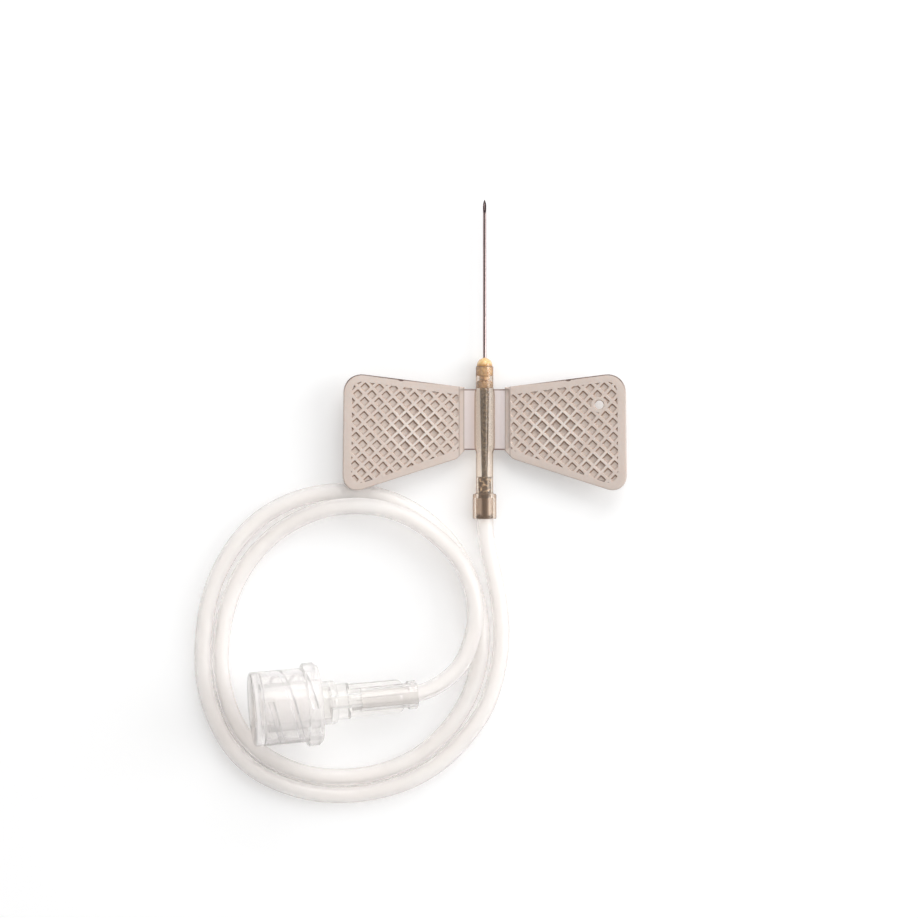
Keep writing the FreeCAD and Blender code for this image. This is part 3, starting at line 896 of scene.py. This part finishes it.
# %% One wing
def make_wing(side):
    """One wing, modelled flat, then raised about its film; side is 1 right, -1 left."""
    wing = plate(wing_outline(0), -wing_top, wing_top)
    edit(wing, "EDGE")
    pick("edges", lambda e, m: abs(abs(m.z) - wing_top) < 1e-4 and m.x > wing_inner_x + 0.01)
    bpy.ops.mesh.bevel(offset=edge_round, segments=4, affect="EDGES")
    leave()
    for up in (1, -1):
        low, high = sorted((up * (wing_top - band_sunk), up * (wing_top + 0.5)))
        band = plate([(0, root_front - 0.02, 0), (band_end_x, root_front - 0.02, 0.3),
                      (band_end_x, root_back + 0.1, 0.45), (0, root_back + 0.1, 0)], low, high, 6)
        boolean(wing, band, "DIFFERENCE")
    boolean(wing, gate_nick(), "DIFFERENCE")
    boolean(wing, wing_cutters(side), "DIFFERENCE")
    if side > 0:
        bevel = 0.1
        radius = hole_diameter / 2
        hole = turned([(radius + 2 * bevel, -wing_top - bevel), (radius, -wing_top + bevel),
                       (radius, wing_top - bevel), (radius + 2 * bevel, wing_top + bevel)], 40)
        hole.data.transform(Matrix.Translation(hole_middle))
        boolean(wing, hole, "DIFFERENCE")
    clean(wing, 0.0002)
    mark_wing(wing, side)
    smooth(wing, 32)
    raise_up = (Matrix.Translation((film_pivot_x, 0, hub_axis_z)) @ Matrix.Rotation(-wing_dihedral, 4, "Y")
                @ Matrix.Translation((-film_pivot_x, 0, 0)))
    wing.data.transform(raise_up)
    if side < 0:
        wing.data.transform(Matrix.Scale(-1, 4, (1, 0, 0)))
        edit(wing)
        bpy.ops.mesh.select_all(action="SELECT")
        bpy.ops.mesh.flip_normals()
        leave()
    body = "right_wing" if side > 0 else "left_wing"
    place(wing, body + "_skin", body, smoke)
    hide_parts(body)
    return wing


for side in (1, -1):
    make_wing(side)

# %% [markdown]
# Hinge films
#
# Beside the hub each wing thins down to a strip a third of a millimetre thick, which bends
# when the wing folds. It is one strip that belongs to both sides; here it is laid in place,
# raised with the wing's rise past the fold line, and hung on neither body.

# %% Films
film_inner_x = 0.9
film_overlap = 0.12
film_short = 0.08
film_slices = 16


def make_film(side):
    inner = film_inner_x
    outer = wing_inner_x + film_overlap
    corners = [(inner, root_front - film_short, 0), (outer, root_front - film_short, 0),
               (outer, root_back + film_short, 0), (inner, root_back + film_short, 0)]
    film = plate(corners, -film_thickness / 2, film_thickness / 2)
    edit(film, "EDGE")
    pick("edges", lambda e, m: abs(abs(m.z) - film_thickness / 2) < 1e-4 and inner < m.x < outer)
    bpy.ops.mesh.bevel(offset=0.06, segments=3, affect="EDGES")
    for i in range(1, film_slices):
        x = inner + (outer - inner) * i / film_slices
        bpy.ops.mesh.select_all(action="SELECT")
        bpy.ops.mesh.bisect(plane_co=(x, 0, 0), plane_no=(1, 0, 0))
    leave()
    for vert in film.data.vertices:
        past = max(vert.co.x - film_pivot_x, 0.0)
        vert.co.z += past * math.tan(wing_dihedral)
        vert.co.z += hub_axis_z
        vert.co.x *= side
    if side < 0:
        edit(film)
        bpy.ops.mesh.select_all(action="SELECT")
        bpy.ops.mesh.flip_normals()
        leave()
    smooth(film, 40)
    body = "right_wing" if side > 0 else "left_wing"
    place(film, body + "_film", "", film_plastic)
    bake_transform(film)
    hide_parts("hub")


for side in (1, -1):
    make_film(side)

# %% [markdown]
# Hub
#
# The hub is a clear brown barrel with four diameters. Its long tapering channel, the cavity
# behind the needle and the tube's socket are inside, and they show through, so they are part
# of the same turned shape: the rings go up the outside, over the front face and back down
# the inside.

# %% Hub
front_barrel_length = 2.65
wing_root_length = 7.45
rear_barrel_length = 5.2
collar_length = 3.0
hub_length = front_barrel_length + wing_root_length + rear_barrel_length + collar_length
hub_front = hub_back + hub_length
needle_in_hub = 13.25
glue_end, glue_core, glue_bulb, glue_waist, glue_cup = 0.25, 0.42, 0.7, 0.45, 0.8
cup_start = needle_in_hub - 1.1
waist_start = cup_start - 0.6
bulb_start = waist_start - 0.9
lay_down = Matrix.Rotation(-math.pi / 2, 4, "X")
hub_lay = Matrix.Translation((0, hub_back, hub_axis_z)) @ lay_down
rear_end = collar_length + rear_barrel_length
root_end = rear_end + wing_root_length
collar, rear, root_radius, front = 1.43, 1.025, 1.25, 1.05

wetted = 0.02
glue_channel = [
    (glue_end, 0.0), (glue_core, bulb_start - 0.12), (glue_bulb - 0.05, bulb_start - 0.03),
    (glue_bulb, bulb_start + 0.1), (glue_bulb, waist_start - 0.22), (glue_bulb - 0.06, waist_start - 0.1),
    (glue_waist, waist_start), (glue_waist, cup_start - 0.12), (glue_cup - 0.06, cup_start - 0.03),
    (glue_cup, cup_start + 0.08), (glue_cup, needle_in_hub - 0.06),
]

hub = turned([
    (1.04, tube_in_hub),
    (1.04, 0.0),
    (1.2, 0.0),
    (1.36, 0.02),
    (1.42, 0.09),
    (collar, 0.2),
    (collar, collar_length - 0.25),
    (1.4, collar_length - 0.08),
    (1.33, collar_length),
    (1.16, collar_length + 0.01),
    (1.06, collar_length + 0.08),
    (rear, collar_length + 0.22),
    (rear, rear_end - 0.35),
    (1.06, rear_end - 0.15),
    (1.17, rear_end + 0.1),
    (1.23, rear_end + 0.35),
    (root_radius, rear_end + 0.8),
    (root_radius, root_end - 0.9),
    (1.2, root_end - 0.35),
    (1.1, root_end - 0.05),
    (front, root_end + 0.2),
    (front, hub_length - 0.06),
    (1.0, hub_length),
    (0.95, hub_length - 0.05),
    *[(radius - wetted, z + hub_length - needle_in_hub) for radius, z in reversed(glue_channel)],
    (0.74, hub_length - needle_in_hub - 0.01),
    (0.785, hub_length - needle_in_hub - 0.08),
    (0.785, tube_in_hub),
])
print("hub rings closed:", len(hub.data.polygons))

# %% Close the hub's inner end
edit(hub)
pick("faces", lambda f, m: len(f.verts) > 4)
bpy.ops.mesh.delete(type="FACE")
bpy.ops.mesh.select_mode(type="EDGE")
pick("edges", lambda e, m: e.is_boundary)
bpy.ops.mesh.bridge_edge_loops()
leave()
clean(hub, 0.0001)
smooth(hub, 30)
place(hub, "hub_barrel", "root", hub_plastic, hub_lay)
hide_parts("hub")

# %% [markdown]
# Glue and needle
#
# Amber glue stands as a dome where the needle leaves the hub and runs down the channel
# round it. The needle is a ground steel tube; three flat cuts with the bisect tool give it
# the bevel and the two small facets of a lancet point. Inside the hub the solid's shank is
# drawn 0.01 mm thinner than the exposed tube, and the shape here follows the solid.

# %% Glue
glue_dome = [
    (0.955, needle_in_hub + 0.005), (0.955, needle_in_hub + 0.1), (0.93, needle_in_hub + 0.3),
    (0.86, needle_in_hub + 0.5), (0.75, needle_in_hub + 0.68), (0.6, needle_in_hub + 0.83),
    (0.44, needle_in_hub + 0.93), (0.31, needle_in_hub + 1.0), (0.23, needle_in_hub + 1.05),
]
glue_piece = turned(glue_channel + glue_dome)
smooth(glue_piece, 40)
needle_lay = Matrix.Translation((0, hub_front - needle_in_hub, hub_axis_z)) @ lay_down
place(glue_piece, "glue_dome", "root", glue, needle_lay)
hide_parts("needle_glue")

# %% Needle
needle_length = 33.3
needle_radius = 0.205
bore_radius = 0.105
shank_radius = 0.2
shank_taper = 1.0
bevel_angle = math.radians(13.0)
lancet_angle = math.radians(20.0)
lancet_turn = math.radians(38.0)
needle = turned([(bore_radius, 0.0), (shank_radius - 0.02, 0.0), (shank_radius, 0.02),
                 (shank_radius, needle_in_hub), (needle_radius, needle_in_hub + shank_taper),
                 (needle_radius, needle_length), (bore_radius, needle_length), (bore_radius, 0.0)], 48)
edit(needle)
pick("faces", lambda f, m: len(f.verts) > 4)
bpy.ops.mesh.delete(type="FACE")
bpy.ops.mesh.select_all(action="SELECT")
bpy.ops.mesh.remove_doubles(threshold=0.0005)
for lean, turn in ((bevel_angle, 0), (lancet_angle, lancet_turn), (lancet_angle, -lancet_turn)):
    outward = Matrix.Rotation(turn, 3, "Z") @ Vector((0, -math.cos(lean), math.sin(lean)))
    bpy.ops.mesh.select_all(action="SELECT")
    bpy.ops.mesh.bisect(plane_co=(0, needle_radius, needle_length), plane_no=outward,
                        use_fill=True, clear_outer=True)
leave()
clean(needle, 0.0001)
smooth(needle, 30)
place(needle, "needle_tube", "root", steel, needle_lay)
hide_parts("needle")

# %% [markdown]
# Connector and cap
#
# Both are clear mouldings, so their inside shows as much as their outside: the socket with
# the end of the tube, the luer taper, the ribs, and the cap's thread and plug. They are made
# upright at the origin, turned ring by ring, and laid along the luer's axis at the end.

# %% Where the connector lies
upright = Vector((0, 0, 1)).rotation_difference(luer_direction).to_matrix().to_4x4()
luer_lay = Matrix.Translation(luer_mouth) @ upright @ Matrix.Translation((0, 0, -barrel_end))

# %% Connector
connector = turned([
    (0.6, socket_depth),
    (1.03, socket_depth),
    (1.03, 0.35),
    (1.2, 0.0),
    (1.55, 0.0),
    (1.7, 0.12),
    (1.7, 1.03),
    (1.6, 1.15),
    (1.47, 1.18),
    (1.45, 1.3),
    (1.45, 8.1),
    (1.55, 8.15),
    (2.05, 8.15),
    (2.15, 8.25),
    (2.15, 9.7),
    (2.2, 9.75),
    (2.3, 9.75),
    (2.47, 9.82),
    (2.56, 9.98),
    (2.575, 10.2),
    (2.575, 11.75),
    (2.925, 11.8),
    (2.925, 18.42),
    (2.85, 18.5),
    (2.2, 18.5),
    (2.14, 18.4),
    (1.91, 10.5),
    (0.6, 10.3),
    (0.6, socket_depth),
])
edit(connector)
pick("faces", lambda f, m: len(f.verts) > 4)
bpy.ops.mesh.delete(type="FACE")
bpy.ops.mesh.select_all(action="SELECT")
bpy.ops.mesh.remove_doubles(threshold=0.0005)
leave()
clean(connector, 0.0001)

# %% Ribs and lugs
rib_count = 4
rib_size = (0.95, 0.85, 6.8)
lug_size = (1.3, 3.2, 1.0)
for i in range(rib_count):
    bpy.ops.object.select_all(action="DESELECT")
    bpy.ops.mesh.primitive_cube_add(size=1, location=(1.5, 0, 5.0))
    rib = active()
    rib.dimensions = rib_size
    bpy.ops.object.transform_apply(location=True, rotation=True, scale=True)
    edit(rib, "EDGE")
    pick("edges", lambda e, m: m.x > 1.9 and m.z < 1.7)
    bpy.ops.mesh.bevel(offset=0.85, segments=6, affect="EDGES")
    bpy.ops.mesh.select_all(action="DESELECT")
    pick("edges", lambda e, m: m.x > 1.5 and abs(abs(m.y) - rib_size[1] / 2) < 1e-4
         and e.calc_face_angle(0) > 0.5)
    bpy.ops.mesh.bevel(offset=0.08, segments=2, affect="EDGES")
    leave()
    rib.data.transform(Matrix.Rotation(2 * math.pi / rib_count * i, 4, "Z"))
    boolean(connector, rib, "UNION")
for side in (1, -1):
    bpy.ops.object.select_all(action="DESELECT")
    bpy.ops.mesh.primitive_cube_add(size=1, location=(side * 3.2, 0, 17.9))
    lug = active()
    lug.dimensions = lug_size
    bpy.ops.object.transform_apply(location=True, rotation=True, scale=True)
    edit(lug, "EDGE")
    pick("edges", lambda e, m: abs(m.x) > 3.3 and abs(m.y) > 1)
    bpy.ops.mesh.bevel(offset=0.45, segments=4, affect="EDGES")
    leave()
    boolean(connector, lug, "UNION")
clean(connector, 0.0002)
smooth(connector, 30)
place(connector, "luer_body", "root", luer_plastic, luer_lay)
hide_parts("luer_connector")

# %% Cap
cap_end = 19.9
cap_inner = 18.7
cap_open = 11.75
cap = turned([
    (3.9, cap_end),
    (4.25, cap_end - 0.04),
    (4.39, cap_end - 0.14),
    (4.425, cap_end - 0.35),
    (4.425, cap_open + 1.95),
    (4.5, cap_open + 1.85),
    (4.85, cap_open + 1.8),
    (4.95, cap_open + 1.7),
    (4.95, cap_open + 0.5),
    (4.55, cap_open + 0.03),
    (4.45, cap_open),
    (4.1, cap_open),
    (3.975, cap_open + 0.12),
    (3.975, cap_inner - 0.3),
    (3.9, cap_inner - 0.08),
    (3.7, cap_inner),
    (2.3, cap_inner),
    (2.12, cap_inner - 0.1),
    (2.09, 18.4),
    (1.97, 13.4),
    (1.75, 13.05),
    (1.4, 13.0),
], 72)

# %% Thread inside the cap
thread_lead = 5.0
thread_turns = 1.05
thread_rise = 0.9
thread_section = ((4.05, -0.42), (3.55, -0.2), (3.55, 0.2), (4.05, 0.42))
for start in range(2):
    bpy.ops.object.select_all(action="DESELECT")
    bpy.ops.mesh.primitive_plane_add(size=1, location=(0, 0, 0), enter_editmode=True)
    mesh = bmesh.from_edit_mesh(active().data)
    mesh.verts.ensure_lookup_table()
    ordered = sorted(mesh.verts, key=lambda v: math.atan2(v.co.y, v.co.x))
    for vert, (x, z) in zip(ordered, thread_section):
        vert.co = (x, 0, z)
    bmesh.update_edit_mesh(active().data)
    ridge = leave()
    modify(ridge, "SCREW", angle=2 * math.pi * thread_turns, screw_offset=thread_lead * thread_turns,
           steps=72, render_steps=72, use_merge_vertices=False, axis="Z")
    edit(ridge, "EDGE")
    pick("edges", lambda e, m: e.is_boundary)
    bpy.ops.mesh.edge_face_add()
    leave()
    clean(ridge, 0.0001)
    start_turn = Matrix.Rotation(math.pi * start, 4, "Z")
    ridge.data.transform(Matrix.Translation((0, 0, cap_open + thread_rise)) @ start_turn)
    boolean(cap, ridge, "UNION")
clean(cap, 0.0002)
smooth(cap, 30)
place(cap, "screw_cap", "cap", cap_plastic, luer_lay)
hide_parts("luer_cap")
